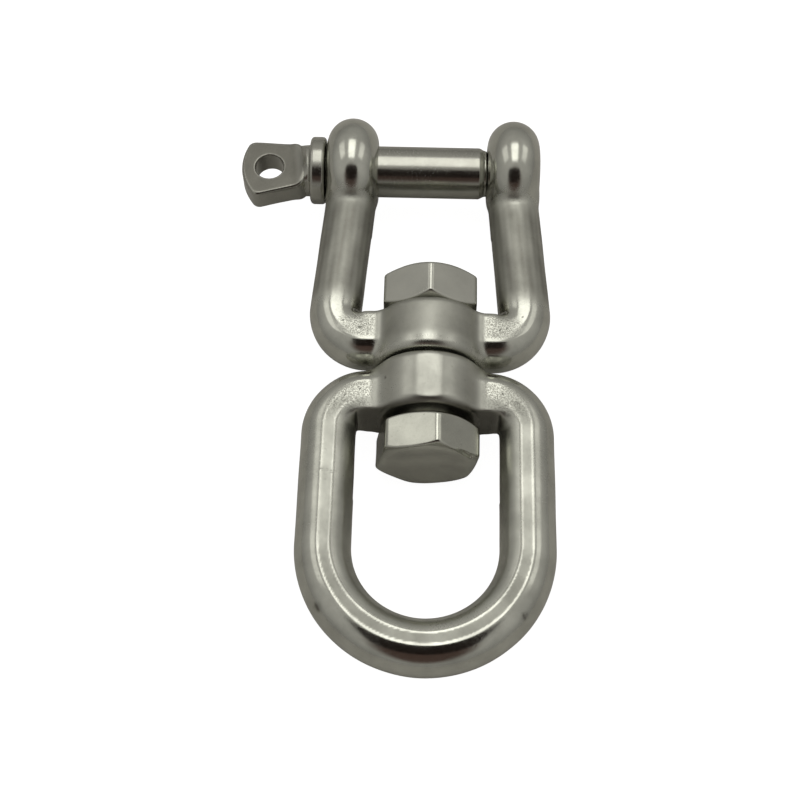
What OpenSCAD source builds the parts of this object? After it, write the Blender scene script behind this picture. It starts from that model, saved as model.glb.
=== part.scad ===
// Anchor swivel for a small boat: a clevis jaw and a closed eye that turn on one bolt.
// Frame: the origin is the centre of the clevis pin, midway between the jaw's two ears.
// +X runs along the clevis pin from its head to its thread, +Y along the line of pull from
// the eye to the clevis pin, and +Z up from the flat ground that the swivel lies on.
// All sizes are in millimetres, for the nominal 10 mm size.

/* [Hub] */
// Distance from the clevis pin back to the gap between the two bosses
hub_back = 44.3; // [40:0.1:50]
// Diameter of the bosses that the bolt passes through
boss_d = 20.2; // [18:0.1:22]
// Length of each boss along the pull
boss_l = 10.5; // [9:0.1:12]
// Gap between the jaw's boss and the eye's boss
boss_gap = 0.4; // [0.3:0.1:1]
// Rounding of the boss rims
boss_round = 1.6; // [0.5:0.1:2]
// Diameter of the hole through both bosses
hub_bore_d = 10.16; // [10.1:0.02:10.2]

/* [Swivel bolt and nut] */
// Diameter of the bolt's shank
bolt_d = 10; // [9.9:0.02:10]
// Width of the bolt's head across its flats
head_af = 17.2; // [16:0.1:18]
// Thickness of the bolt's head
head_l = 7.1; // [5:0.1:8]
// How far the bolt stands turned from the nut, in degrees
head_turn = 11; // [0:1:30]
// Gap left under the bolt's head, so that the hub turns freely
head_gap = 1.1; // [0.4:0.1:1.5]
// Width of the nut across its flats
nut_af = 17.3; // [16:0.1:18]
// Thickness of the nut
nut_l = 8; // [7:0.1:9]
// Radial gap between the nut's bore and the bolt
nut_gap = 0.03; // [0.02:0.01:0.1]
// How far the bolt's end stands out of the nut
bolt_end = 1.3; // [1.2:0.1:2]
// Leg of the weld bead that locks the nut to the bolt's end
weld_leg = 1.1; // [0.6:0.1:1.1]

/* [Eye] */
// Diameter of the eye's rod
eye_rod_d = 9.9; // [9:0.1:10.4]
// Distance between the centre lines of the eye's two legs
eye_w = 35.6; // [33:0.1:38]
// Distance from the hub's gap to the centre of the eye's round end
eye_crown_back = 34.3; // [30:0.1:38]
// Bend radius of the eye's shoulders, on the centre line
eye_bend_r = 7; // [6:0.1:10]
// Diameter of the eye's arms, which are stouter than the rod
eye_arm_d = 11.4; // [10.4:0.1:11.8]
// Distance from the hub's gap to the centre line of the arms, in the jaw and in the eye
arm_back = 6.2; // [6.1:0.1:6.5]

/* [Jaw] */
// Diameter of the jaw's rod
jaw_rod_d = 9.8; // [9:0.1:10.4]
// Diameter of the jaw's arms, which are stouter than the rod
jaw_arm_d = 11.4; // [10.4:0.1:11.8]
// Bend radius of the jaw's corners, on the centre line
jaw_bend_r = 5.6; // [5.2:0.1:8]
// Distance between the leg centre lines at the clevis pin
jaw_mouth_w = 30.6; // [29:0.1:32]
// Lean of each leg towards the other, in degrees
jaw_lean = 4.2; // [0:0.1:6]
// Diameter of the round ears
ear_d = 20.6; // [19:0.1:22]
// Thickness of each ear, whose rim is fully rounded
ear_w = 10.1; // [9:0.1:10.1]
// Distance between the middles of the two ears
ear_pitch = 31.6; // [31:0.1:33]
// Diameter of the plain hole in the left ear
ear_hole_d = 10.3; // [10.2:0.02:10.4]
// Diameter of the threaded hole in the right ear, drawn plain
ear_thread_d = 9.2; // [9.1:0.02:9.4]

/* [Clevis pin] */
// Diameter of the pin's shank
pin_d = 10; // [9.9:0.02:10]
// Diameter of the threaded end, drawn plain
pin_thread_d = 9; // [8.8:0.02:9]
// Distance from the right ear's inner face to the end of the full shank
pin_shoulder = 0.6; // [0.5:0.1:2]
// Length of the taper between the shank and the thread
pin_taper = 1; // [0.5:0.1:1.5]
// How far the pin's end sits below the right ear's outer face
pin_end_depth = 0.5; // [0.2:0.1:2]
// Diameter of the collar that stops against the left ear
collar_d = 13.2; // [12:0.1:14]
// Thickness of the collar
collar_l = 3; // [2.5:0.1:4]
// Rounding of the collar's edges
collar_round = 0.7; // [0.3:0.1:1]
// Gap between the collar and the left ear
collar_gap = 0.25; // [0.2:0.05:0.5]
// Length of the forged pad beyond the collar
pad_l = 13.6; // [12:0.1:16]
// Width of the pad across its corners
pad_w = 13; // [11:0.1:13]
// Thickness of the pad
pad_t = 5; // [4:0.1:6]
// Diameter of the hole in the pad
pad_hole_d = 5.6; // [5:0.1:6]
// Distance from the collar to the centre of the pad's hole
pad_hole_out = 8.1; // [7.5:0.1:8.5]
// How far the pad's rounded end bulges beyond its corners
pad_bulge = 2.2; // [2:0.1:4]
// How far the forged pad is bent sideways out of the pin's line, in degrees
pad_bend = 7; // [0:1:8]

/* [Hidden] */
$fn = 96;

hub_y = -hub_back;
// The round seats cut flat for the nut and for the bolt's head
seat_d = boss_d + 0.6;
seat_l = 3;
// Each boss is cast this much too long, and its seat is cut back to length
seat_cut = 0.2;
// Length over which a stout arm tapers to the rod at each bend
arm_taper = 2;

// Swivel bolt and nut, measured along Y
nut_y = hub_y + boss_gap / 2 + boss_l;
bolt_tip_y = nut_y + nut_l + bolt_end;
head_y = hub_y - boss_gap / 2 - boss_l - head_gap;
bolt_chamfer = 0.4;
hex_chamfer_slope = tan(30);

// Eye
eye_rod_r = eye_rod_d / 2;
eye_arm_y = hub_y - arm_back;
eye_crown_y = hub_y - eye_crown_back;
eye_bend_x = eye_w / 2 - eye_bend_r;
eye_bend_y = eye_arm_y - eye_bend_r;

// Jaw: each corner's bend meets the arm at a right angle and the leaning leg tangentially
jaw_rod_r = jaw_rod_d / 2;
jaw_arm_y = hub_y + arm_back;
jaw_bend_y = jaw_arm_y + jaw_bend_r;
jaw_bend_x = jaw_mouth_w / 2 - (jaw_bend_r + jaw_bend_y * sin(jaw_lean)) / cos(jaw_lean);
ear_x = ear_pitch / 2;
ear_in_x = ear_x - ear_w / 2;
ear_out_x = ear_x + ear_w / 2;
ear_flat_r = ear_d / 2 - ear_w / 2;
// The leg ends inside the ear, this far short of its flat middle, which holds the hole
leg_clear = 0.3;
jaw_leg_l = -jaw_bend_y * cos(jaw_lean) - (jaw_mouth_w / 2 - jaw_bend_x) * sin(jaw_lean)
    - ear_flat_r - leg_clear;
// The leg starts inside the bend and is a hair thicker, so that the two join without a seam
leg_overlap = 0.3;
leg_skin = 0.02;

// Clevis pin, measured along X
collar_x = -ear_out_x - collar_gap;
neck_x = collar_x - collar_l;
pad_end_x = neck_x - pad_l;
pad_corner_x = pad_end_x + pad_bulge;
pad_hole_x = neck_x - pad_hole_out;
shank_end_x = ear_in_x - pin_shoulder - pin_taper;
pin_tip_x = ear_out_x - pin_end_depth;
pin_tip_chamfer = 0.8;
// Radius of the pad's bulged end, from its width and its bulge
pad_end_r = (pow(pad_w / 2, 2) + pow(pad_bulge, 2)) / (2 * pad_bulge);
// The neck runs into the collar, stays round for a short length and then flares to the pad
neck_root = 1.5;
neck_l = 1.5;
neck_flare_l = 5.5;
// Length of the neck, seen from above, before its sides start to widen
neck_straight_l = 2;
// The die's round edge, which leads the pad's flat faces up to just short of the collar
ramp_r = 4;
ramp_gap = 0.6;
ramp_x = neck_x - sqrt(pow(ramp_r, 2) - pow(ramp_r - (pin_d - pad_t) / 2, 2)) - ramp_gap;

// Stands a shape drawn along Z on the XZ plane at y, so that it runs along +Y
module along_y(y) {
    translate([0, y, 0]) rotate([-90, 0, 0]) children();
}

// Lays a shape drawn along Z on the YZ plane at x, so that it runs along +X
module along_x(x) {
    translate([x, 0, 0]) rotate([0, 90, 0]) children();
}

// Draws a shape on both sides of the line of pull
module both_sides() {
    children();
    mirror([1, 0, 0]) children();
}

// A solid of revolution from z = 0 to l, with both outer rims rounded
module rounded_drum(d, l, round) {
    rotate_extrude() {
        square([d / 2 - round, l]);
        translate([0, round]) square([d / 2, l - 2 * round]);
        for (z = [round, l - round]) translate([d / 2 - round, z]) circle(r = round);
    }
}

// A hexagon from z = 0 to l, with a corner towards +Y and both ends chamfered
module hex_block(af, l) {
    corner_r = af / sqrt(3) + 0.5;
    face_r = 0.46 * af;
    chamfer = (corner_r - face_r) * hex_chamfer_slope;
    intersection() {
        rotate([0, 0, 30]) cylinder(h = l, d = af / cos(30), $fn = 6);
        rotate_extrude()
            polygon([[0, 0], [face_r, 0], [corner_r, chamfer],
                     [corner_r, l - chamfer], [face_r, l], [0, l]]);
    }
}

// Both arms of the jaw or the eye as one bar across the boss, tapered to meet the bends
module arms(y, d, rod_r, reach) {
    translate([0, y, 0]) rotate([0, 90, 0]) rotate_extrude()
        polygon([[0, -reach], [rod_r, -reach], [d / 2, arm_taper - reach],
                 [d / 2, reach - arm_taper], [rod_r, reach], [0, reach]]);
}

// One side of the jaw: the corner's bend and the leaning leg
module jaw_side() {
    translate([jaw_bend_x, jaw_bend_y, 0]) rotate([0, 0, -90])
        rotate_extrude(angle = 90 + jaw_lean)
            translate([jaw_bend_r, 0]) circle(r = jaw_rod_r);
    translate([jaw_bend_x, jaw_bend_y, 0]) rotate([0, 0, jaw_lean])
        translate([jaw_bend_r, -leg_overlap, 0]) rotate([-90, 0, 0])
            cylinder(h = jaw_leg_l + leg_overlap, r = jaw_rod_r + leg_skin);
}

// A round ear about the pin's axis, its rim a full half circle
module ear() {
    translate([ear_x, 0, 0]) rotate([0, 90, 0]) rotate_extrude() {
        translate([0, -ear_w / 2]) square([ear_flat_r, ear_w]);
        translate([ear_flat_r, 0]) circle(d = ear_w);
    }
}

// Clevis jaw: a boss, two arms, two legs and two ears cast in one piece
module jaw() {
    color([0.55, 0.55, 0.53]) difference() {
        union() {
            both_sides() union() {
                jaw_side();
                ear();
            }
            arms(jaw_arm_y, jaw_arm_d, jaw_rod_r, jaw_bend_x);
            along_y(hub_y + boss_gap / 2)
                rounded_drum(boss_d, boss_l + seat_cut, boss_round);
        }
        along_y(hub_y) cylinder(h = boss_l + boss_gap + 1, d = hub_bore_d);
        along_y(nut_y) cylinder(h = seat_l, d = seat_d);
        along_x(-ear_out_x - 1) cylinder(h = ear_w + 2, d = ear_hole_d);
        along_x(ear_in_x - 1) cylinder(h = ear_w + 2, d = ear_thread_d);
    }
}

// One side of the eye: the shoulder's bend and the straight leg
module eye_side() {
    translate([eye_bend_x, eye_bend_y, 0])
        rotate_extrude(angle = 90) translate([eye_bend_r, 0]) circle(r = eye_rod_r);
    translate([eye_w / 2, eye_bend_y, 0]) rotate([90, 0, 0])
        cylinder(h = eye_bend_y - eye_crown_y, r = eye_rod_r);
}

// Closed eye: a boss, two arms, two legs and a half-round end cast in one piece
module eye() {
    color([0.58, 0.58, 0.56]) difference() {
        union() {
            both_sides() eye_side();
            translate([0, eye_crown_y, 0]) rotate([0, 0, 180])
                rotate_extrude(angle = 180) translate([eye_w / 2, 0]) circle(r = eye_rod_r);
            arms(eye_arm_y, eye_arm_d, eye_rod_r, eye_bend_x);
            along_y(hub_y - boss_gap / 2 - boss_l - seat_cut)
                rounded_drum(boss_d, boss_l + seat_cut, boss_round);
        }
        along_y(hub_y - boss_gap / 2 - boss_l - seat_l) {
            cylinder(h = seat_l + boss_l + 1, d = hub_bore_d);
            cylinder(h = seat_l, d = seat_d);
        }
    }
}

// Hexagon bolt through both bosses, its head inside the eye
module swivel_bolt() {
    color([0.66, 0.65, 0.6]) {
        along_y(head_y - head_l) rotate([0, 0, head_turn]) hex_block(head_af, head_l);
        along_y(head_y - 1) cylinder(h = bolt_tip_y - head_y + 1 - bolt_chamfer, d = bolt_d);
        along_y(bolt_tip_y - bolt_chamfer)
            cylinder(h = bolt_chamfer, d1 = bolt_d, d2 = bolt_d - 2 * bolt_chamfer);
    }
}

// Hexagon nut seated on the jaw's boss
module swivel_nut() {
    color([0.6, 0.6, 0.58]) along_y(nut_y) difference() {
        hex_block(nut_af, nut_l);
        translate([0, 0, -1]) cylinder(h = nut_l + 2, d = bolt_d + 2 * nut_gap);
    }
}

// Ring of weld in the corner between the nut's top face and the bolt's end
module nut_lock_weld() {
    color([0.5, 0.48, 0.45]) along_y(nut_y + nut_l) rotate_extrude()
        translate([bolt_d / 2, 0]) intersection() {
            circle(r = weld_leg);
            square(weld_leg);
        }
}

// Side view of the pad and neck: flat faces, then the die's round edge up to the neck
module pad_side_view() {
    difference() {
        translate([pad_end_x, -pin_d / 2]) square([pad_l + neck_root, pin_d]);
        for (side = [-1, 1]) scale([1, side]) {
            translate([pad_end_x - 1, pad_t / 2]) square([ramp_x - pad_end_x + 1, pin_d]);
            translate([ramp_x, pad_t / 2 + ramp_r]) circle(r = ramp_r);
        }
    }
}

// Plan view of the pad: straight shoulders that widen outwards, then the bulged end
module pad_plan_view() {
    intersection() {
        translate([pad_end_x, -pad_w / 2]) square([pad_bulge, pad_w]);
        translate([pad_end_x + pad_end_r, 0]) circle(r = pad_end_r);
    }
    polygon([[neck_x + neck_root, -pin_d / 2], [neck_x + neck_root, pin_d / 2],
             [neck_x - neck_straight_l, pin_d / 2], [pad_corner_x, pad_w / 2],
             [pad_corner_x, -pad_w / 2], [neck_x - neck_straight_l, -pin_d / 2]]);
}

// The round neck and the cone through which it flares, as one solid about the pin's line
module neck_flare() {
    along_x(neck_x) rotate_extrude()
        polygon([[0, -pad_l - 1], [pad_w, -pad_l - 1], [pad_w, -neck_l - neck_flare_l],
                 [pin_d / 2, -neck_l], [pin_d / 2, neck_root], [0, neck_root]]);
}

// The pad and its neck, bent a little towards -Y where the neck meets the collar
module pin_pad() {
    translate([neck_x, 0, 0]) rotate([0, 0, pad_bend]) translate([-neck_x, 0, 0])
        difference() {
            intersection() {
                translate([0, 0, -pin_d / 2]) linear_extrude(pin_d) pad_plan_view();
                rotate([90, 0, 0]) translate([0, 0, -pad_w])
                    linear_extrude(2 * pad_w) pad_side_view();
                neck_flare();
            }
            translate([pad_hole_x, 0, -pin_d]) cylinder(h = 2 * pin_d, d = pad_hole_d);
        }
}

// Screw-in clevis pin: pad, collar, shank and threaded end
module clevis_pin() {
    color([0.62, 0.61, 0.58]) {
        pin_pad();
        along_x(neck_x) rounded_drum(collar_d, collar_l, collar_round);
        along_x(collar_x - 1) cylinder(h = shank_end_x - collar_x + 1, d = pin_d);
        along_x(shank_end_x) cylinder(h = pin_taper, d1 = pin_d, d2 = pin_thread_d);
        along_x(shank_end_x + pin_taper)
            cylinder(h = pin_tip_x - pin_tip_chamfer - shank_end_x - pin_taper, d = pin_thread_d);
        along_x(pin_tip_x - pin_tip_chamfer)
            cylinder(h = pin_tip_chamfer, d1 = pin_thread_d, d2 = pin_thread_d - 2 * pin_tip_chamfer);
    }
}

jaw();
eye();
swivel_bolt();
swivel_nut();
nut_lock_weld();
clevis_pin();
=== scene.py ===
"""Looks for the anchor swivel: cast and polished stainless steel on a pale floor.

The field functions below are distances in millimetres, negative inside the metal,
in the row frame: +X along the clevis pin, +Y along the line of pull and +Z up.
"""
import math

import bpy
import numpy as np
from mathutils import Matrix, Vector


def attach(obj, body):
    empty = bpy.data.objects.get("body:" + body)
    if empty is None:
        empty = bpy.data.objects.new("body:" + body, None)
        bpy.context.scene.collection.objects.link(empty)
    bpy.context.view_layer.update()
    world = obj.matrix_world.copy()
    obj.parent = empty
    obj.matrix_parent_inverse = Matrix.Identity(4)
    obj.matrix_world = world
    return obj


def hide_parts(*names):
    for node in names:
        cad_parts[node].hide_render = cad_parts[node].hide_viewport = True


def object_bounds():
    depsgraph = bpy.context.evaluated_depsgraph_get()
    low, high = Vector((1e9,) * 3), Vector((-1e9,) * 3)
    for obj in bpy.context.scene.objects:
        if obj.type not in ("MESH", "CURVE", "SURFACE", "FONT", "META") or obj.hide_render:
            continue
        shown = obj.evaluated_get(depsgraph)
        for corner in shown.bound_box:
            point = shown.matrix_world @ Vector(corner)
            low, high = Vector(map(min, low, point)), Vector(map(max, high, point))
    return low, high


MM = 0.001
FAR = 9.0  # a distance that is longer than any that matters

# Hub, measured along Y
HUB_Y = -44.3
BOSS_R = 10.1
BOSS_GAP = 0.4
BOSS_L = 10.5
BORE_R = 5.08
BORE_EDGE = 0.5
SEAT_OUT = 0.3
SEAT_L = 3
BOLT_R = 5.0
BOLT_END_R = 4.6
BOLT_THREAD = 0.75
NUT_Y = HUB_Y + BOSS_GAP / 2 + BOSS_L
NUT_L = 8.0
NUT_AF = 17.3
NUT_CHAMFER_R = 7.95
HEAD_GAP = 1.1
HEAD_L = 7.1
HEAD_AF = 17.2
HEAD_TURN = math.radians(11)
HEAD_DISH = 0.25
NICK_R = 0.5
HEAD_Y = HUB_Y - BOSS_GAP / 2 - BOSS_L - HEAD_GAP
BOLT_TIP_Y = NUT_Y + NUT_L + 1.3

# Both castings
ARM_HIGH = 5.12
FLAT_LEAN = math.radians(4)
TRIM_LEAN = math.radians(62)
THROAT_GAP = 0.02
CAST_RIPPLE = (11, 0.035)

# Eye
EYE_R = 4.95
EYE_ARM_R = 5.45
EYE_ARM_WALL = 4.2
EYE_FILLET = 2.0
EYE_BOSS_RIM = 1.7
EYE_BOSS_FLAT = 0.2
EYE_THROAT_Y = -54.7
SEAM_Y = -66.5
SEAM_HIGH = 0.06
EYE_ARM_Y = HUB_Y - 6.2
EYE_HALF_W = 17.8
EYE_BEND_R = 7.0
EYE_BEND_X = EYE_HALF_W - EYE_BEND_R
EYE_BEND_Y = EYE_ARM_Y - EYE_BEND_R
EYE_CROWN_Y = HUB_Y - 34.3

# Jaw
JAW_R = 4.9
JAW_ARM_R = 5.6
JAW_ARM_WALL = 4.05
JAW_FILLET = 1.4
JAW_BOSS_RIM = 1.6
JAW_THROAT_Y = -34.05
JAW_ARM_Y = HUB_Y + 6.2
JAW_BEND_R = 5.6
JAW_BEND_Y = JAW_ARM_Y + JAW_BEND_R
JAW_LEAN = math.radians(4.2)
JAW_BEND_X = 15.3 - (JAW_BEND_R + JAW_BEND_Y * math.sin(JAW_LEAN)) / math.cos(JAW_LEAN)
EAR_X = 15.8
EAR_HALF = 5.05
EAR_R = 10.3
EAR_FLAT_R = EAR_R - EAR_HALF
EAR_HOLE_R = 5.15
EAR_THREAD_R = 4.6
EAR_THREAD = 0.45
EAR_FILLET = 1.1

# Clevis pin, measured along X
PIN_R = 5.0
PIN_END_R = 3.7
PIN_THREAD = 0.85
COLLAR_R = 6.6
COLLAR_L = 3.0
COLLAR_RIM = 0.75
COLLAR_X = -EAR_X - EAR_HALF - 0.25
NECK_X = COLLAR_X - COLLAR_L
NECK_RISE_R = 4
NECK_SLOPE = 1.38
PAD_END_X = NECK_X - 13.6
PAD_BULGE = 2.2
PAD_CORNER_X = PAD_END_X + PAD_BULGE
PAD_HOLE_X = NECK_X - 8.1
PAD_HOLE_R = 2.8
PAD_HALF_W = 6.5
PAD_HALF_T = 2.5
PAD_BEND = math.radians(7)
SHANK_END_X = EAR_X - EAR_HALF - 1.6
PIN_TIP_X = EAR_X + EAR_HALF - 0.5
THREAD_PITCH = 1.5

# The stage, in metres: lights and cards are set round the middle of the swivel
STAGE_Y = -0.045
LIGHT_OUT = 0.8


# ---- Distance tools ---------------------------------------------------------

def smooth_min(a, b, k):
    """The union of two shapes, with a fillet about k mm in radius."""
    h = np.maximum(k - np.abs(a - b), 0) / k
    return np.minimum(a, b) - h * h * (k / 4)


def smooth_max(a, b, k):
    """The part shared by two shapes, with its edge rounded by about k mm."""
    return -smooth_min(-a, -b, k)


def ease(t):
    """0 below 0, 1 above 1 and smooth in between."""
    t = np.clip(t, 0, 1)
    return t * t * (3 - 2 * t)


def ramp(value, start, length):
    """0 up to start, and 1 from length past it."""
    return ease((value - start) / length)


def rounded_drum(radial, along, r, half, rim):
    """A cylinder about a line, given the distances from the line and from its middle."""
    a = radial - r + rim
    b = np.abs(along) - half + rim
    outside = np.hypot(np.maximum(a, 0), np.maximum(b, 0))
    return outside + np.minimum(np.maximum(a, b), 0) - rim


def ripple(x, y, z, size, height):
    """The slow unevenness of a casting that was polished by hand."""
    f = 2 * math.pi / size
    a = np.sin(f * x + 1.3 * np.sin(0.7 * f * y + 0.4))
    b = np.sin(0.9 * f * y + 1.1 * np.sin(0.8 * f * z + 2.1))
    c = np.sin(1.1 * f * z + 1.2 * np.sin(0.6 * f * x + 4.0))
    return height * (a + b + c) / 3


def triangle_wave(t):
    """From 0 at whole numbers to 1 halfway between them."""
    return 1 - np.abs(2 * (t - np.floor(t)) - 1)


# ---- Eye --------------------------------------------------------------------

def eye_path(x, y):
    """How far out a point is from the loop's centre line, and how far round it is from the hub."""
    ax = np.abs(x)
    bend_x = ax - EYE_BEND_X
    bend_y = y - EYE_BEND_Y
    bend_turn = np.arctan2(np.maximum(bend_x, 0), np.maximum(bend_y, 1e-6))
    crown_y = y - EYE_CROWN_Y
    crown_turn = np.arctan2(np.maximum(-crown_y, 0), ax + 1e-6)
    leg_start = EYE_BEND_X + EYE_BEND_R * math.pi / 2
    leg_end = leg_start + EYE_BEND_Y - EYE_CROWN_Y
    is_crown = crown_y < 0
    is_leg = (bend_y < 0) & ~is_crown
    is_bend = (bend_y >= 0) & (bend_x > 0)
    u = np.select(
        [is_crown, is_leg, is_bend],
        [np.hypot(ax, crown_y) - EYE_HALF_W, ax - EYE_HALF_W, np.hypot(bend_x, bend_y) - EYE_BEND_R],
        y - EYE_ARM_Y)
    s = np.select(
        [is_crown, is_leg, is_bend],
        [leg_end + EYE_HALF_W * crown_turn, leg_start - bend_y, EYE_BEND_X + EYE_BEND_R * bend_turn],
        ax)
    return u, s


def arm_section(u, az, r, wall, high, edge):
    """An arm's section: round outside, flat on top and below, and cut upright on the inside."""
    outer = np.where(u > 0, np.hypot(u, az) - r, az - high)
    return smooth_max(smooth_max(outer, az - high, 0.12), -u - wall, edge)


def rod_section(u, az, r, depth, lean):
    """A round rod with a narrow flat on top and below, which leans a little towards the inside."""
    flat = az * math.cos(lean) - u * math.sin(lean) - (r - depth)
    return smooth_max(np.hypot(u, az) - r, flat, 0.1)


def eye_loop(x, y, z):
    """The rod of the eye, with its flats and its trimmed inner side."""
    u, s = eye_path(x, y)
    az = np.abs(z)
    rod = rod_section(u, az, EYE_R, 0.115, FLAT_LEAN)
    trim = 0.17 * ramp(s, 26, 8)
    inner = az * math.cos(TRIM_LEAN) - u * math.sin(TRIM_LEAN) - (EYE_R + 0.03 - trim)
    rod = smooth_max(rod, inner, 0.12)
    arm = arm_section(u, az, EYE_ARM_R, EYE_ARM_WALL, ARM_HIGH, 0.7)
    return arm + (rod - arm) * ramp(s, 10.5, 10)


def eye_throat(x, y):
    """The space between the legs, up to the arms' upright sides."""
    space = smooth_max(np.abs(x) - (EYE_HALF_W - EYE_R - THROAT_GAP), y - EYE_THROAT_Y, 0.4)
    return np.where(y > -70, space, FAR)


def casting_seam(x, y, z):
    """The height of a hair-thin wavy seam across the top of the left leg."""
    line = np.exp(-((y - SEAM_Y + 0.25 * np.sin(2.2 * x)) / 0.2) ** 2)
    return SEAM_HIGH * line * window(x, -18.8, -16.2, 0.5) * ramp(z, 4, 0.5)


def eye_field(x, y, z):
    """Closed eye: boss, arms, legs and half-round end in one casting."""
    radial = np.hypot(x, z)
    middle = HUB_Y - BOSS_GAP / 2 - BOSS_L / 2
    boss = rounded_drum(radial, y - middle, BOSS_R, BOSS_L / 2, EYE_BOSS_RIM)
    boss = smooth_max(boss, np.abs(z) - BOSS_R + EYE_BOSS_FLAT, 0.2)
    body = smooth_min(eye_loop(x, y, z), boss, EYE_FILLET)
    body = smooth_max(body, -eye_throat(x, y), 0.4)
    body = np.minimum(body, boss)
    body = body + ripple(x, y, z, *CAST_RIPPLE) - casting_seam(x, y, z)
    body = smooth_max(body, y - (HUB_Y - BOSS_GAP / 2), 0.3)
    end = middle - BOSS_L / 2
    seat = np.maximum(np.maximum(radial - BOSS_R - SEAT_OUT, y - end), end - SEAT_L - y)
    body = np.maximum(body, -seat)
    return smooth_max(body, np.minimum(BORE_R - radial, y + 70), BORE_EDGE)


# ---- Jaw --------------------------------------------------------------------

def jaw_path(x, y):
    """How far out a point is from the centre line of the jaw, and how far it is from the hub."""
    ax = np.abs(x) - JAW_BEND_X
    ay = y - JAW_BEND_Y
    across = ax * math.cos(JAW_LEAN) + ay * math.sin(JAW_LEAN)
    along = ay * math.cos(JAW_LEAN) - ax * math.sin(JAW_LEAN)
    turn = np.arctan2(np.maximum(ax, 0), np.maximum(-ay, 1e-6))
    turn = np.where(ay > 0, math.pi / 2 + np.arctan2(np.maximum(ay, 0), np.maximum(ax, 1e-6)), turn)
    is_leg = (along > 0) | (ay > 0.2) & (ax <= 0)
    is_bend = (along <= 0) & (ax > 0)
    leg_start = JAW_BEND_X + JAW_BEND_R * (math.pi / 2 + JAW_LEAN)
    u = np.select([is_leg, is_bend], [across - JAW_BEND_R, np.hypot(ax, ay) - JAW_BEND_R], JAW_ARM_Y - y)
    s = np.select([is_leg, is_bend], [leg_start + along, JAW_BEND_X + JAW_BEND_R * turn], np.abs(x))
    return u, s


def jaw_fork(x, y, z):
    """The two arms and legs of the jaw, with the flat faces on top of and below the arms."""
    u, s = jaw_path(x, y)
    az = np.abs(z)
    depth = 0.1 - 0.06 * ramp(s, 24, 12)
    rod = rod_section(u, az, JAW_R, depth, FLAT_LEAN)
    arm = arm_section(u, az, JAW_ARM_R, JAW_ARM_WALL, ARM_HIGH, 1.4)
    return np.maximum(arm + (rod - arm) * ramp(s, 11, 9), y + 3)


def jaw_throat(x, y):
    """The space between the legs, down to the arms' trimmed sides."""
    inside = np.abs(x) * math.cos(JAW_LEAN) + (y - JAW_BEND_Y) * math.sin(JAW_LEAN)
    limit = JAW_BEND_X * math.cos(JAW_LEAN) + JAW_BEND_R - JAW_R - THROAT_GAP
    space = smooth_max(inside - limit, JAW_THROAT_Y - y, 0.4)
    return np.where(y < -15, space, FAR)


def ears(x, y, z):
    """The two round ears about the pin's axis, with fully rounded rims."""
    radial = np.hypot(y, z)
    return np.hypot(np.maximum(radial - EAR_FLAT_R, 0), np.abs(x) - EAR_X) - EAR_HALF


def ear_holes(x, y, z):
    """The space inside the plain hole on the left and the threaded hole on the right."""
    radial = np.hypot(y, z)
    thread = triangle_wave(x / THREAD_PITCH - np.arctan2(z, y) / (2 * math.pi))
    right = radial - EAR_THREAD_R - EAR_THREAD * thread
    left = radial - EAR_HOLE_R
    hole = np.where(x > 0, right * 0.8, left)
    out = np.abs(np.abs(x) - EAR_X) - EAR_HALF
    mouth = radial - np.where(x > 0, EAR_THREAD_R, EAR_HOLE_R) - EAR_THREAD - out
    return np.minimum(hole, np.where(out > -1.2, mouth * 0.7, FAR))


def jaw_field(x, y, z):
    """Clevis jaw: boss, arms, legs and ears in one casting."""
    radial = np.hypot(x, z)
    middle = HUB_Y + BOSS_GAP / 2 + BOSS_L / 2
    boss = rounded_drum(radial, y - middle, BOSS_R, BOSS_L / 2, JAW_BOSS_RIM)
    body = smooth_min(jaw_fork(x, y, z), boss, JAW_FILLET)
    body = smooth_max(body, -jaw_throat(x, y), 0.5)
    body = np.minimum(body, boss)
    body = smooth_min(body, ears(x, y, z), EAR_FILLET)
    body = body + ripple(x + 40, y, z, *CAST_RIPPLE)
    body = smooth_max(body, (HUB_Y + BOSS_GAP / 2) - y, 0.3)
    seat = np.maximum(np.maximum(radial - BOSS_R - SEAT_OUT, NUT_Y - y), y - NUT_Y - SEAT_L)
    body = np.maximum(body, -seat)
    body = smooth_max(body, np.minimum(BORE_R - radial, -20 - y), BORE_EDGE)
    return smooth_max(body, -ear_holes(x, y, z), 0.25)


# ---- Bolt, nut and weld -----------------------------------------------------

def hexagon(x, z, af, turn, edge):
    """A hexagon bar along Y with a corner towards +Z, turned towards +X, its corners rounded."""
    c, s = math.cos(turn), math.sin(turn)
    px = x * c - z * s
    pz = x * s + z * c
    sides = []
    for angle in (30, 90, 150):
        a = math.radians(angle)
        sides.append(np.abs(px * math.sin(a) + pz * math.cos(a)) - af / 2)
    return smooth_max(smooth_max(sides[0], sides[1], edge), sides[2], edge)


def cone_end(radial, depth, r):
    """A 30 degree chamfer that starts at radius r on an end face; depth is how far inside that face."""
    return (radial - r) * 0.5 - depth * math.cos(math.radians(30))


def helix(x, z, y):
    """0 to 1 and back once for each turn of a thread about the Y axis."""
    return triangle_wave(y / THREAD_PITCH - np.arctan2(x, z) / (2 * math.pi))


def bolt_nick(x, y, z):
    """The distance to the line of a worn nick along one edge of the head's end face."""
    start_x, start_y, start_z = 5.7, HEAD_Y - HEAD_L + 0.15, 6.8
    step_x, step_z = 2.1, -2.9
    dx, dy, dz = x - start_x, y - start_y, z - start_z
    t = np.clip((dx * step_x + dz * step_z) / (step_x ** 2 + step_z ** 2), 0, 1)
    return np.sqrt((dx - t * step_x) ** 2 + dy ** 2 + (dz - t * step_z) ** 2)


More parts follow.
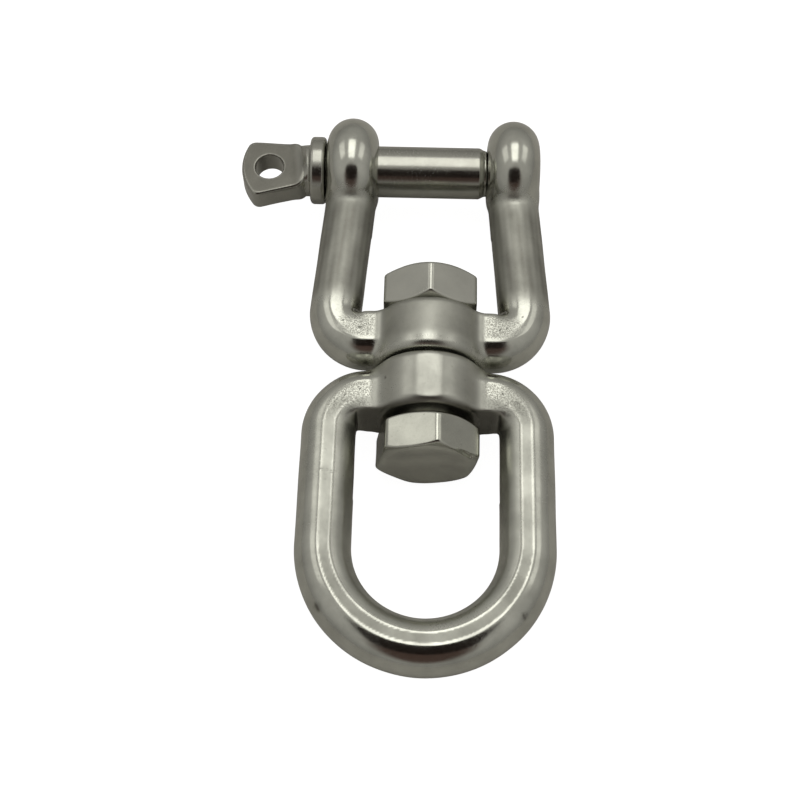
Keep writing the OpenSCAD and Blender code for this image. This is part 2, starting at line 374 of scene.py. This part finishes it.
def bolt_field(x, y, z):
    """Hexagon bolt, its head towards the eye, with a rolled thread under the nut."""
    radial = np.hypot(x, z)
    head = hexagon(x, z, HEAD_AF, HEAD_TURN, 0.7)
    inner = HEAD_Y - y
    outer = y - (HEAD_Y - HEAD_L)
    head = smooth_max(head, cone_end(radial, inner, 8.1), 0.35)
    head = smooth_max(head, cone_end(radial, outer, 8.5), 0.35)
    head = smooth_max(head, -inner, 0.3)
    dished = HEAD_DISH * ramp(radial, 3.0, 6.0)
    head = smooth_max(head, -outer + HEAD_DISH - dished, 0.7)
    head = smooth_max(head, NICK_R - bolt_nick(x, y, z), 0.3)
    head = head + ripple(x + 10, y, z + 5, 7, 0.05)
    thread = BOLT_THREAD * (1 - helix(x, z, y)) * ease((y - NUT_Y + 4) / 1.5)
    shank = smooth_max(radial - BOLT_R + thread * 0.8, y - BOLT_TIP_Y, 0.5)
    shank = smooth_max(shank, (radial - BOLT_END_R + y - BOLT_TIP_Y) * 0.7, 0.2)
    shank = np.maximum(shank, HEAD_Y - 1 - y)
    return smooth_min(head, shank, 0.5)


def nut_field(x, y, z):
    """Hexagon nut, chamfered at both ends."""
    radial = np.hypot(x, z)
    nut = hexagon(x, z, NUT_AF, 0.0, 0.55)
    near = y - NUT_Y
    far = NUT_Y + NUT_L - y
    nut = smooth_max(nut, cone_end(radial, near, NUT_CHAMFER_R), 0.3)
    nut = smooth_max(nut, cone_end(radial, far, NUT_CHAMFER_R), 0.3)
    nut = smooth_max(nut, np.maximum(-near, -far), 0.25)
    nut = nut + ripple(x, y + 20, z, 8, 0.02)
    bore = BOLT_R + 0.03 + 0.7 * np.maximum(0, 0.8 - np.minimum(near, far))
    return smooth_max(nut, (bore - radial) * 0.9, 0.15)


def weld_field(x, y, z):
    """Ring of weld between the nut's end face and the bolt's end, laid in short overlapping ripples."""
    radial = np.hypot(x, z)
    turn = np.arctan2(x, z)
    beads = np.sin(14 * turn + 0.5 * np.sin(3 * turn)) ** 2
    r = 0.98 + 0.12 * beads - 0.08 * np.sin(5 * turn)
    up = y - NUT_Y - NUT_L
    bead = np.hypot(radial - BOLT_R, up) - r
    bead = smooth_max(bead, -up, 0.1)
    return smooth_max(bead, (BOLT_R + 0.02 - radial), 0.3)


# ---- Clevis pin -------------------------------------------------------------

def pad_place(x, y):
    """Where a point lies on the pad as it was before it was bent towards -Y."""
    c, s = math.cos(PAD_BEND), math.sin(PAD_BEND)
    return NECK_X + (x - NECK_X) * c + y * s, y * c - (x - NECK_X) * s


def pin_pad_outline(x, y):
    """The pad from above: straight shoulders that widen outwards, then a bulged end."""
    spread = (PAD_HALF_W - PIN_R) / (NECK_X - 2 - PAD_CORNER_X)
    half_w = PIN_R + spread * np.maximum(NECK_X - 2 - x, 0)
    side = (np.abs(y) - half_w) * 0.98
    bulge_r = (PAD_HALF_W ** 2 + PAD_BULGE ** 2) / (2 * PAD_BULGE)
    end = np.hypot(x - PAD_END_X - bulge_r, y) - bulge_r
    return smooth_max(side, np.where(x < PAD_CORNER_X + 4, end, -FAR), 1.0)


def pin_pad(x, y, z):
    """The flat forged pad, rounding up into the round neck, with its hole."""
    x, y = pad_place(x, y)
    radial = np.hypot(y, z)
    plan = pin_pad_outline(x, y)
    rise_x = NECK_X - 4.3
    rise = np.sqrt(np.maximum(NECK_RISE_R ** 2 - np.clip(x - rise_x, 0, 3.6) ** 2, 1))
    thick = (np.abs(z) - PAD_HALF_T - (NECK_RISE_R - rise)) * 0.85
    pad = smooth_max(plan, thick, 0.8)
    flare_x = NECK_X - 1.5
    flare = (radial - PIN_R - NECK_SLOPE * (flare_x - x)) * 0.6
    neck = np.where(x < flare_x, flare, radial - PIN_R)
    pad = smooth_max(pad, neck, 1.0)
    pad = np.maximum(pad, x - NECK_X - COLLAR_L / 2)
    return smooth_max(pad, PAD_HOLE_R - np.hypot(x - PAD_HOLE_X, y), 0.3)


def pin_field(x, y, z):
    """Screw-in clevis pin: pad, collar, shank, taper and thread."""
    radial = np.hypot(y, z)
    pad = pin_pad(x, y, z) + ripple(x, y, z + 9, 8, 0.04)
    collar = rounded_drum(radial, x - (NECK_X + COLLAR_X) / 2, COLLAR_R, COLLAR_L / 2, COLLAR_RIM)
    wave = 1 - triangle_wave(x / THREAD_PITCH - np.arctan2(z, y) / (2 * math.pi))
    cut = PIN_THREAD * wave * ease((x - SHANK_END_X - 1) / 1.2)
    taper = 0.5 * np.clip(x - SHANK_END_X, 0, 1)
    shank = (radial - PIN_R + taper + cut) * 0.85
    shank = smooth_max(shank, x - PIN_TIP_X, 0.3)
    shank = smooth_max(shank, (radial - PIN_END_R + x - PIN_TIP_X) * 0.7, 0.2)
    shank = np.maximum(shank, NECK_X + 1 - x)
    return smooth_min(smooth_min(pad, collar, 0.5), shank, 0.4)


# ---- Meshes -----------------------------------------------------------------

def sample(field, low, high, step):
    """The field's values on a grid, worked out a few layers at a time."""
    axes = [np.arange(low[i], high[i] + step, step) for i in range(3)]
    grid = np.empty([len(a) for a in axes], np.float32)
    for i in range(0, len(axes[0]), 12):
        x = axes[0][i:i + 12][:, None, None]
        grid[i:i + 12] = field(x, axes[1][None, :, None], axes[2][None, None, :])
    return grid


def net_points(grid, low, step):
    """One point in each grid cell that the surface crosses, and each cell's point number."""
    inside = grid < 0
    size = np.array(grid.shape) - 1
    count = np.zeros(size, np.int8)
    corners = [(i, j, k) for i in (0, 1) for j in (0, 1) for k in (0, 1)]
    for i, j, k in corners:
        count += inside[i:i + size[0], j:j + size[1], k:k + size[2]]
    cells = np.argwhere((count > 0) & (count < 8))
    number = np.full(size, -1, np.int64)
    number[tuple(cells.T)] = np.arange(len(cells))
    total = np.zeros((len(cells), 3))
    hits = np.zeros(len(cells))
    for a in corners:
        for axis in range(3):
            if a[axis]:
                continue
            b = tuple(1 if n == axis else a[n] for n in range(3))
            va = grid[tuple((cells + a).T)].astype(float)
            vb = grid[tuple((cells + b).T)].astype(float)
            cut = (va < 0) != (vb < 0)
            t = np.where(cut, va / np.where(cut, va - vb, 1), 0)
            at = np.array(a) + t[:, None] * (np.array(b) - np.array(a))
            total += np.where(cut[:, None], at, 0)
            hits += cut
    return low + step * (cells + total / hits[:, None]), number


def net_faces(grid, number):
    """A quad across each grid edge that the surface cuts, facing outwards."""
    inside = grid < 0
    faces = []
    for axis in range(3):
        b, c = (axis + 1) % 3, (axis + 2) % 3
        first = [slice(1, -1)] * 3
        second = [slice(1, -1)] * 3
        first[axis] = slice(0, -1)
        second[axis] = slice(1, None)
        near, far = inside[tuple(first)], inside[tuple(second)]
        at = np.argwhere(near != far)
        outward = near[tuple(at.T)]
        at[:, b] += 1
        at[:, c] += 1
        quad = []
        for db, dc in ((1, 1), (0, 1), (0, 0), (1, 0)):
            cell = at.copy()
            cell[:, b] -= db
            cell[:, c] -= dc
            quad.append(number[tuple(cell.T)])
        quad = np.stack(quad, 1)
        faces.append(np.where(outward[:, None], quad, quad[:, ::-1]))
    return np.vstack(faces)


def slope(field, p):
    """The field's value and gradient at each point."""
    gap = 0.02
    value = field(p[:, 0], p[:, 1], p[:, 2])
    steps = []
    for axis in range(3):
        q = p.copy()
        q[:, axis] += gap
        r = p.copy()
        r[:, axis] -= gap
        steps.append((field(q[:, 0], q[:, 1], q[:, 2]) - field(r[:, 0], r[:, 1], r[:, 2])) / (2 * gap))
    return value, np.stack(steps, 1)


def build(name, field, low, high, step, body, node, material, marks=None):
    """Meshes a field as one named piece, which rides on a body and stands for a CAD node."""
    low = np.array(low, float) - 2 * step
    high = np.array(high, float) + 2 * step
    grid = sample(field, low, high, step)
    points, number = net_points(grid, low, step)
    faces = net_faces(grid, number)
    for _ in range(3):
        value, gradient = slope(field, points)
        squared = np.maximum((gradient ** 2).sum(1), 0.05)
        move = -np.clip(value / squared, -step, step)[:, None] * gradient
        points += np.clip(move, -0.7 * step, 0.7 * step)
    gradient = slope(field, points)[1]
    normals = gradient / np.maximum(np.linalg.norm(gradient, axis=1), 1e-9)[:, None]
    mesh = bpy.data.meshes.new(name)
    mesh.vertices.add(len(points))
    mesh.vertices.foreach_set("co", (points * MM).astype(np.float32).ravel())
    mesh.loops.add(faces.size)
    mesh.loops.foreach_set("vertex_index", faces.astype(np.int32).ravel())
    mesh.polygons.add(len(faces))
    mesh.polygons.foreach_set("loop_start", np.arange(0, faces.size, 4, dtype=np.int32))
    mesh.update(calc_edges=True)
    mesh.validate()
    mesh.polygons.foreach_set("use_smooth", np.ones(len(mesh.polygons), bool))
    mesh.normals_split_custom_set_from_vertices(normals)
    for key, strength in (marks or {}).items():
        layer = mesh.attributes.new(key, "FLOAT", "POINT")
        values = strength(points[:, 0], points[:, 1], points[:, 2])
        layer.data.foreach_set("value", np.asarray(values, np.float32))
    mesh.materials.append(material)
    piece = bpy.data.objects.new(name, mesh)
    bpy.context.scene.collection.objects.link(piece)
    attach(piece, body)
    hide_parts(node)


# ---- Surface marks ----------------------------------------------------------

# Marks are named by where they lie: s mm along a path from the hub, or y along the swivel
BLAST_START = (10.2, 2.4)
ROUND_END = (42, 10)
EYE_HUB_END_Y = HUB_Y - 12.5
JAW_HUB_END_Y = -25
EYE_SCUFFS = ((-17.9, -90.7, 3.0, 1.0), (16.7, -91.5, 3.5, 0.8), (-7.8, -49.1, 6.5, 0.4))


def window(value, low, high, soft):
    """1 between low and high, fading over soft on either side."""
    return ease((value - low) / soft + 1) * ease((high - value) / soft + 1)


def eye_blast(x, y, z):
    """1 on the blasted flats on the eye's arms, weaker on the arms' upright sides."""
    u, s = eye_path(x, y)
    top = ramp(np.abs(z), 4.6, 0.3)
    away = ramp(np.hypot(x, z), *BLAST_START)
    half = 2.5 - 1.5 * ramp(s, 13, 8)
    middle = -1.15 + 0.8 * ramp(s, 12, 8)
    flat = ease((half - np.abs(u - middle)) / 0.5 + 0.5)
    strength = 1 - ramp(s, 17, 6)
    wall = 0.35 * window(s, 12, 24, 3) * ramp(-u, 1.5, 1.5)
    arms = np.where(y < HUB_Y - 1, top * away * flat * strength, 0)
    return np.maximum(arms, wall)


def jaw_blast(x, y, z):
    """1 on the blasted flats on the jaw's arms, weaker round the necks of the ears."""
    u, s = jaw_path(x, y)
    top = ramp(np.abs(z), 4.5, 0.4)
    away = ramp(np.hypot(x, z), *BLAST_START)
    arms = top * away * window(s, 0, 14.5, 3.5) * window(u, -2.5, 1.3, 0.7)
    neck = 0.5 * window(y, -9.5, -8.6, 0.6) * window(np.abs(x), 11, 22, 1)
    return np.maximum(arms, neck)


def on_boss(x, z):
    """1 on a boss and 0 outside it."""
    return ease((BOSS_R + 0.5 - np.hypot(x, z)) / 0.4)


def near_boss(x, z, boss, fillet):
    """One value on a boss, another on its fillets, and 0 on the arms."""
    return np.maximum(boss * on_boss(x, z), fillet * window(np.hypot(x, z), 10.4, 11.0, 0.8))


def ground_band(u):
    """1 on the narrow flat that is ground along the top and the bottom of the eye's rod."""
    return window(u, -1.1, 0.4, 0.16)


def eye_satin(x, y, z):
    """How dull the eye is: most on its ground band, less on the inner side, the legs and the boss."""
    u, s = eye_path(x, y)
    flat = (0.68 + 0.25 * ramp(s, *ROUND_END)) * ground_band(u)
    flat = flat * ramp(np.abs(z), 4.5, 0.2) * ramp(s, 13, 5)
    inner = 0.4 * ramp(-u, 1.5, 0.5)
    leg = 0.14 * window(s, 18, 40, 6)
    hub = np.where(y > EYE_HUB_END_Y, near_boss(x, z, 0.42, 0.4), 0)
    return np.maximum(np.maximum(flat, inner), np.maximum(leg, hub))


def jaw_satin(x, y, z):
    """How dull the jaw is: most on its legs, less on the boss, and not at all on the ears and corners."""
    leg = 0.85 * window(y, -28, -12, 6)
    hub = near_boss(x, z, 0.75, 0.4) * (0.4 + 0.6 * ramp(y - HUB_Y, 2.2, 1.5))
    return np.maximum(leg, np.where(y < JAW_HUB_END_Y, hub, 0))


def pin_satin(x, y, z):
    """1 on the flat faces of the pad and 0 on its worn edges and on the turned parts."""
    px, py = pad_place(x, y)
    from_hole = np.hypot(px - PAD_HOLE_X, py) - PAD_HOLE_R - 0.25
    inside = np.minimum(-pin_pad_outline(px, py) - 0.55, from_hole)
    return ease(inside / 0.25 + 0.5) * ease((NECK_X - 1 - px) / 2.5)


def eye_scuffs(x, y, z):
    """Small dark marks on the eye: two scuffs on the round end and a nick on the boss."""
    mottle = 0.6 + 0.3 * np.sin(7 * x + 4 * y)
    dark = 0 * x
    for mark_x, mark_y, mark_z, r in EYE_SCUFFS:
        away = np.sqrt((x - mark_x) ** 2 + (y - mark_y) ** 2 + (z - mark_z) ** 2) / r
        dark = np.maximum(dark, ease(1.3 - away) * mottle)
    return dark


def eye_painted_shade_and_scuffs(x, y, z):
    """Painted shade in the recesses, a little on the boss and on the band at the round end, and the real
    scuffs.
    """
    u, s = eye_path(x, y)
    # recess, hub and band are painted shade that darkens the reflections there; only the scuffs are real
    # marks
    recess = 0.75 * window(s, 0, 17, 3) * ramp(-u, 3.2, 1.0)
    hub = np.where(y > EYE_HUB_END_Y, 0.15 * on_boss(x, z), 0)
    band = 0.22 * ramp(s, *ROUND_END) * ground_band(u)
    return np.maximum(np.maximum(recess, hub), np.maximum(band, eye_scuffs(x, y, z)))


def jaw_painted_shade(x, y, z):
    """Painted shade: on the legs in faint lengthwise streaks of painted reflection, in the inner corners and
    on the boss.
    """
    u, s = jaw_path(x, y)
    # The streaks are painted reflection stripes; leg, inner and hub are painted shade
    turn = np.arctan2(u, np.abs(z))
    streaks = 0.5 + 0.3 * np.sin(9 * turn + 0.25 * y) + 0.2 * np.sin(23 * turn + 1.0)
    leg = (0.24 + 0.34 * streaks) * window(y, -28, -13, 5)
    inner = 0.6 * window(s, 9, 22, 3) * ramp(-u, 3.0, 1.2)
    hub = 0.3 * on_boss(x, z) * ramp(y - HUB_Y, 2.2, 2)
    return np.maximum(np.maximum(leg, inner), np.where(y < JAW_HUB_END_Y, hub, 0))


def pin_painted_shade(x, y, z):
    """Painted shade: thin on the shank, thicker on the pad and thickest on the pad's flat faces."""
    return np.maximum(0.6 * pin_satin(x, y, z), 0.13 + 0.15 * ease((NECK_X - 1 - x) / 2))


def no_marks(x, y, z):
    """0 everywhere."""
    return 0 * x


# ---- Materials --------------------------------------------------------------

BLAST_RELIEF = 9.0
BLAST_ROUGH = 0.10
BLAST_FILM = 0.42
SATIN_ROUGH = 0.42
PIT_DEPTH = 3.0
# Grey that the blasted specks, the eye's scuffs and the painted shade pull the steel's colour towards
SHADE_AND_SPECK_GREY = (0.15, 0.14, 0.12, 1)


def node(tree, kind, x, y, **values):
    """Adds a shader node; values set its sockets by name."""
    made = tree.nodes.new(kind)
    made.location = (x, y)
    for key, value in values.items():
        made.inputs[key].default_value = value
    return made


def noise(tree, coords, size_mm, detail, y, rough=0.55):
    """Noise about size_mm across, in object space."""
    made = node(tree, "ShaderNodeTexNoise", -900, y, Scale=1000 / size_mm, Detail=detail, Roughness=rough)
    tree.links.new(coords, made.inputs["Vector"])
    return made.outputs["Fac"]


def map_range(tree, source, low, high, to_low, to_high, y):
    """Maps low..high to to_low..to_high, clamped."""
    made = node(tree, "ShaderNodeMapRange", -600, y)
    made.inputs["From Min"].default_value = low
    made.inputs["From Max"].default_value = high
    made.inputs["To Min"].default_value = to_low
    made.inputs["To Max"].default_value = to_high
    tree.links.new(source, made.inputs["Value"])
    return made.outputs["Result"]


def math_node(tree, kind, a, b, y):
    """A sum, product or other result of two inputs, either of which may be a number."""
    made = node(tree, "ShaderNodeMath", -350, y)
    made.operation = kind
    for socket, value in ((0, a), (1, b)):
        if isinstance(value, (int, float)):
            made.inputs[socket].default_value = value
        else:
            tree.links.new(value, made.inputs[socket])
    return made.outputs[0]


def mark(tree, name, y):
    """One of the marks stored on a mesh's points."""
    made = node(tree, "ShaderNodeAttribute", -900, y)
    made.attribute_name = name
    return made.outputs["Fac"]


def mix_colours(tree, amount, first, second, y):
    """Blends two colours, either of which may come from another node."""
    made = node(tree, "ShaderNodeMix", -100, y)
    made.data_type = "RGBA"
    tree.links.new(amount, made.inputs[0])
    for socket, value in ((6, first), (7, second)):
        if isinstance(value, tuple):
            made.inputs[socket].default_value = value
        else:
            tree.links.new(value, made.inputs[socket])
    return made.outputs[2]


def wear_and_painted_shade(tree, coords, tone, rough, height):
    """Adds blasted patches with dark specks, dull patches and painted shade, where a mesh's marks ask for
    them.
    """
    blasted = mark(tree, "blast", -700)
    dots = map_range(tree, noise(tree, coords, 0.24, 1, -900, 0.5), 0.37, 0.51, 0.0, 1.0, -900)
    relief = math_node(tree, "MULTIPLY", blasted, BLAST_RELIEF, -750)
    height = math_node(tree, "ADD", height, math_node(tree, "MULTIPLY", dots, relief, -850), -500)
    rough = math_node(tree, "ADD", rough, math_node(tree, "MULTIPLY", blasted, BLAST_ROUGH, -650), -100)
    dulled = math_node(tree, "MULTIPLY", mark(tree, "satin", -1200), SATIN_ROUGH, -1200)
    rough = math_node(tree, "ADD", rough, dulled, -100)
    filled = math_node(tree, "MULTIPLY", blasted, BLAST_FILM, -1050)
    hollows = math_node(tree, "MULTIPLY", math_node(tree, "SUBTRACT", 1.0, dots, -950), filled, -1000)
    # The shade mark is painted shade that darkens the colour where less light is reflected; on the eye it
    # also holds real scuffs
    shade_and_specks = math_node(tree, "MAXIMUM", hollows, mark(tree, "shade", -1400), -1300)
    return mix_colours(tree, shade_and_specks, tone, SHADE_AND_SPECK_GREY, 500), rough, height


def steel(name, light, dark, gloss, pits=0.5, worn=False, grain=0.5):
    """Stainless steel: uneven polish, fine grain, small pits and, if asked, the mesh's own marks, painted
    shade among them.
    """
    made = bpy.data.materials.new(name)
    made.use_nodes = True
    tree = made.node_tree
    shader = tree.nodes["Principled BSDF"]
    shader.inputs["Metallic"].default_value = 1.0
    coords = node(tree, "ShaderNodeTexCoord", -1200, 0).outputs["Object"]
    cloudy = noise(tree, coords, 6.0, 3, 300)
    fine = noise(tree, coords, 0.35, 4, 0, 0.7)
    pitted = noise(tree, coords, 0.9, 2, -300, 0.4)
    spots = map_range(tree, pitted, 0.70, 0.76, 0.0, pits, -300)
    blend = math_node(tree, "SUBTRACT", map_range(tree, cloudy, 0.3, 0.65, 0.0, 1.0, 300), spots, 300)
    tone = mix_colours(tree, blend, dark, light, 300)
    rough = map_range(tree, fine, 0.3, 0.7, gloss - 0.1 * grain, gloss + 0.14 * grain, 0)
    rough = math_node(tree, "ADD", rough, map_range(tree, cloudy, 0.3, 0.7, 0.04, -0.03, 150), 0)
    height = math_node(tree, "MULTIPLY", fine, grain, -150)
    height = math_node(tree, "SUBTRACT", height, math_node(tree, "MULTIPLY", spots, PIT_DEPTH, -450), -300)
    # worn adds the blasted and dull patches and also the painted shade from the shade mark
    if worn:
        tone, rough, height = wear_and_painted_shade(tree, coords, tone, rough, height)
    bump = node(tree, "ShaderNodeBump", -100, -300, Strength=0.35, Distance=0.00001)
    tree.links.new(height, bump.inputs["Height"])
    tree.links.new(tone, shader.inputs["Base Color"])
    tree.links.new(rough, shader.inputs["Roughness"])
    tree.links.new(bump.outputs["Normal"], shader.inputs["Normal"])
    return made


# ---- Stage ------------------------------------------------------------------

def backdrop(low_z):
    """A pale floor that rises into a pale wall all round; only the camera sees it."""
    floor_z = low_z - 0.0001
    rows = [(1.2, 0.0), (1.5, 0.05), (1.75, 0.2), (1.9, 0.5), (1.9, 2.0)]
    turns = 64
    points = [(0, 0, floor_z)]
    for r, z in rows:
        for i in range(turns):
            a = 2 * math.pi * i / turns
            points.append((r * math.cos(a), r * math.sin(a) + STAGE_Y, floor_z + z))
    faces = [(0, 1 + i, 1 + (i + 1) % turns) for i in range(turns)]
    for ring in range(len(rows) - 1):
        a = 1 + ring * turns
        for i in range(turns):
            j = (i + 1) % turns
            faces.append((a + i, a + turns + i, a + turns + j, a + j))
    mesh = bpy.data.meshes.new("floor")
    mesh.from_pydata(points, [], faces)
    mesh.polygons.foreach_set("use_smooth", np.ones(len(mesh.polygons), bool))
    floor = bpy.data.objects.new("floor", mesh)
    bpy.context.scene.collection.objects.link(floor)
    made = bpy.data.materials.new("pale_floor")
    made.use_nodes = True
    shader = made.node_tree.nodes["Principled BSDF"]
    shader.inputs["Base Color"].default_value = (0.35, 0.35, 0.35, 1)
    shader.inputs["Roughness"].default_value = 0.9
    shader.inputs["Specular IOR Level"].default_value = 0.0
    shader.inputs["Emission Color"].default_value = (1, 1, 1, 1)
    shader.inputs["Emission Strength"].default_value = 0.95
    mesh.materials.append(made)
    floor.visible_glossy = False
    floor.visible_diffuse = False
    floor.visible_shadow = False


def panel(name, elevation, turn, width, height, power, tint):
    """A soft light over the swivel. Elevation runs from the front horizon over the top to the back."""
    e, t = math.radians(elevation), math.radians(turn)
    way = Vector((math.sin(t), -math.cos(t) * math.cos(e), math.cos(t) * math.sin(e)))
    lamp = bpy.data.lights.new(name, "AREA")
    lamp.shape = "RECTANGLE"
    lamp.size = width
    lamp.size_y = height
    lamp.energy = power * width * height
    lamp.color = tint
    made = bpy.data.objects.new(name, lamp)
    bpy.context.scene.collection.objects.link(made)
    made.location = Vector((0, STAGE_Y, 0)) + way * LIGHT_OUT
    x = (Vector((1, 0, 0)) - way * way.x).normalized()
    made.rotation_euler = Matrix((x, way.cross(x), way)).transposed().to_euler()


def reflection_card(name, half_x, half_y, colour):
    """A card with rounded corners that is seen only in the metal's reflections."""
    corners = 24
    points = []
    for i in range(corners):
        a = 2 * math.pi * i / corners
        c, n = math.cos(a), math.sin(a)
        points.append((half_x * math.copysign(abs(c) ** 0.5, c), half_y * math.copysign(abs(n) ** 0.5, n), 0))
    mesh = bpy.data.meshes.new(name)
    mesh.from_pydata(points, [], [tuple(range(corners))])
    card = bpy.data.objects.new(name, mesh)
    bpy.context.scene.collection.objects.link(card)
    made = bpy.data.materials.new(name)
    made.use_nodes = True
    shader = made.node_tree.nodes["Principled BSDF"]
    shader.inputs["Base Color"].default_value = colour
    shader.inputs["Roughness"].default_value = 0.8
    shader.inputs["Specular IOR Level"].default_value = 0.1
    mesh.materials.append(made)
    card.visible_camera = False
    card.visible_shadow = False
    card.visible_diffuse = False
    return card


def dark_card():
    """The dark shape of a camera and hands over the swivel."""
    card = reflection_card("dark_card", 0.135, 0.085, (0.045, 0.028, 0.024, 1))
    card.matrix_world = bpy.context.scene.camera.matrix_world @ Matrix.Translation((0, -0.02, 0.01))


def table_card(low_z):
    """The grey table that the metal reflects, with the swivel's own shadow on it."""
    card = reflection_card("table_card", 1.6, 1.6, (0.60, 0.59, 0.57, 1))
    card.location = (0, STAGE_Y, low_z - 0.0005)


def surroundings():
    """Dim room: darkest below, grey at the sides, lighter overhead and a dark red-brown shape in front."""
    world = bpy.data.worlds.new("room")
    bpy.context.scene.world = world
    world.use_nodes = True
    tree = world.node_tree
    back = tree.nodes["Background"]
    way = node(tree, "ShaderNodeTexCoord", -1200, 0).outputs["Generated"]
    split = node(tree, "ShaderNodeSeparateXYZ", -1000, 0)
    tree.links.new(way, split.inputs[0])
    ramp = tree.nodes.new("ShaderNodeValToRGB")
    tall = map_range(tree, split.outputs["Z"], -1, 1, 0, 1, 200)
    tree.links.new(tall, ramp.inputs[0])
    stops = [(0.0, 0.2), (0.48, 0.28), (0.56, 0.28), (0.68, 0.37), (0.80, 0.43), (1.0, 0.46)]
    while len(ramp.color_ramp.elements) < len(stops):
        ramp.color_ramp.elements.new(0.5)
    for stop, (at, level) in zip(ramp.color_ramp.elements, stops):
        stop.position = at
        stop.color = (level * 1.02, level, level * 0.95, 1)
    dot = tree.nodes.new("ShaderNodeVectorMath")
    dot.operation = "DOT_PRODUCT"
    raised = math.radians(42)
    dot.inputs[1].default_value = (0, -math.cos(raised), math.sin(raised))
    tree.links.new(way, dot.inputs[0])
    shape = map_range(tree, dot.outputs["Value"], 0.83, 0.93, 0, 1, -200)
    mix = tree.nodes.new("ShaderNodeMix")
    mix.data_type = "RGBA"
    mix.inputs[7].default_value = (0.075, 0.048, 0.04, 1)
    tree.links.new(shape, mix.inputs[0])
    tree.links.new(ramp.outputs["Color"], mix.inputs[6])
    tree.links.new(mix.outputs[2], back.inputs["Color"])


def camera():
    """The photograph's viewpoint: above the eye's end, looking down the line of pull."""
    lens = bpy.data.cameras.new("camera")
    lens.lens = 61.684
    lens.sensor_width = 36
    lens.clip_start = 0.01
    made = bpy.data.objects.new("camera", lens)
    bpy.context.scene.collection.objects.link(made)
    right = Vector((0.9996298, 0.02707394, -0.00269402))
    up = Vector((-0.02315082, 0.89841623, 0.43853427))
    ahead = Vector((-0.01429321, 0.43830956, -0.89871043))
    turned = Matrix((right, up, -ahead)).transposed().to_4x4()
    place = Vector((-1.559, -159.808, 224.637)) * MM
    made.matrix_world = Matrix.Translation(place) @ turned
    bpy.context.scene.camera = made


# ---- Scene ------------------------------------------------------------------

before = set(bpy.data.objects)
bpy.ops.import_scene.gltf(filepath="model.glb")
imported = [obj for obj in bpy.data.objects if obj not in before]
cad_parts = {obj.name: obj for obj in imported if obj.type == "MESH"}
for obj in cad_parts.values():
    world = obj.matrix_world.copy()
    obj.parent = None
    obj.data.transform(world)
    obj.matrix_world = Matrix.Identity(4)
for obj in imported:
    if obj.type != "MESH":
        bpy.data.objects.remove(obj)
cad_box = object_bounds()
bpy.context.scene.view_settings.view_transform = "Standard"
camera()
surroundings()
warm = (1.0, 0.99, 0.94)
panel("top_light", 109, 0, 0.36, 0.62, 4.1, (1.0, 0.995, 0.95))
panel("left_light", 114, -37, 0.28, 0.50, 1.55, warm)
panel("right_light", 114, 38, 0.26, 0.50, 1.4, warm)
dark_card()
table_card(cad_box[0].z)
backdrop(cad_box[0].z)

# worn=True gives the castings and the pin their blasted and dull patches and their painted shade
cast = steel("cast_steel", (0.655, 0.66, 0.595, 1), (0.497, 0.50, 0.45, 1), 0.15, 0.5, worn=True)
bolt_metal = steel("bolt_steel", (0.65, 0.655, 0.58, 1), (0.512, 0.515, 0.46, 1), 0.17, 0.7)
nut_metal = steel("nut_steel", (0.62, 0.62, 0.56, 1), (0.53, 0.53, 0.48, 1), 0.22, 0.3, grain=0.15)
weld_metal = steel("weld_steel", (0.44, 0.42, 0.38, 1), (0.26, 0.24, 0.21, 1), 0.36, 0.8)
pin_metal = steel("pin_steel", (0.53, 0.53, 0.475, 1), (0.46, 0.46, 0.415, 1), 0.2, 0.3, worn=True)

# Each piece: its field, the box that is sampled and the step (mm), then its body, CAD node, material and
# marks
build("jaw_casting", jaw_field, (-23, -44.2, -10.4), (23, 10.4, 10.4), 0.3,
      "jaw", "jaw", cast,
      {"blast": jaw_blast, "satin": jaw_satin, "shade": jaw_painted_shade})
build("eye_casting", eye_field, (-22.9, -101.5, -10.3), (22.9, -44.4, 10.3), 0.3,
      "eye", "eye", cast,
      {"blast": eye_blast, "satin": eye_satin, "shade": eye_painted_shade_and_scuffs})
build("hex_bolt", bolt_field, (-10.27, -63.43, -10.25), (10.2, -24.2, 10.2), 0.2,
      "bolt_set", "swivel_bolt", bolt_metal)
build("hex_nut", nut_field, (-10.2, -33.7, -10.2), (10.2, -25.5, 10.2), 0.2,
      "bolt_set", "swivel_nut", nut_metal)
build("weld_bead", weld_field, (-6.36, -25.73, -6.34), (6.3, -24.3, 6.3), 0.12,
      "bolt_set", "nut_lock_weld", weld_metal)
build("screw_pin", pin_field, (-37.9, -8.2, -6.7), (20.5, 6.7, 6.7), 0.2,
      "clevis_pin", "clevis_pin", pin_metal,
      {"blast": no_marks, "satin": pin_satin, "shade": pin_painted_shade})
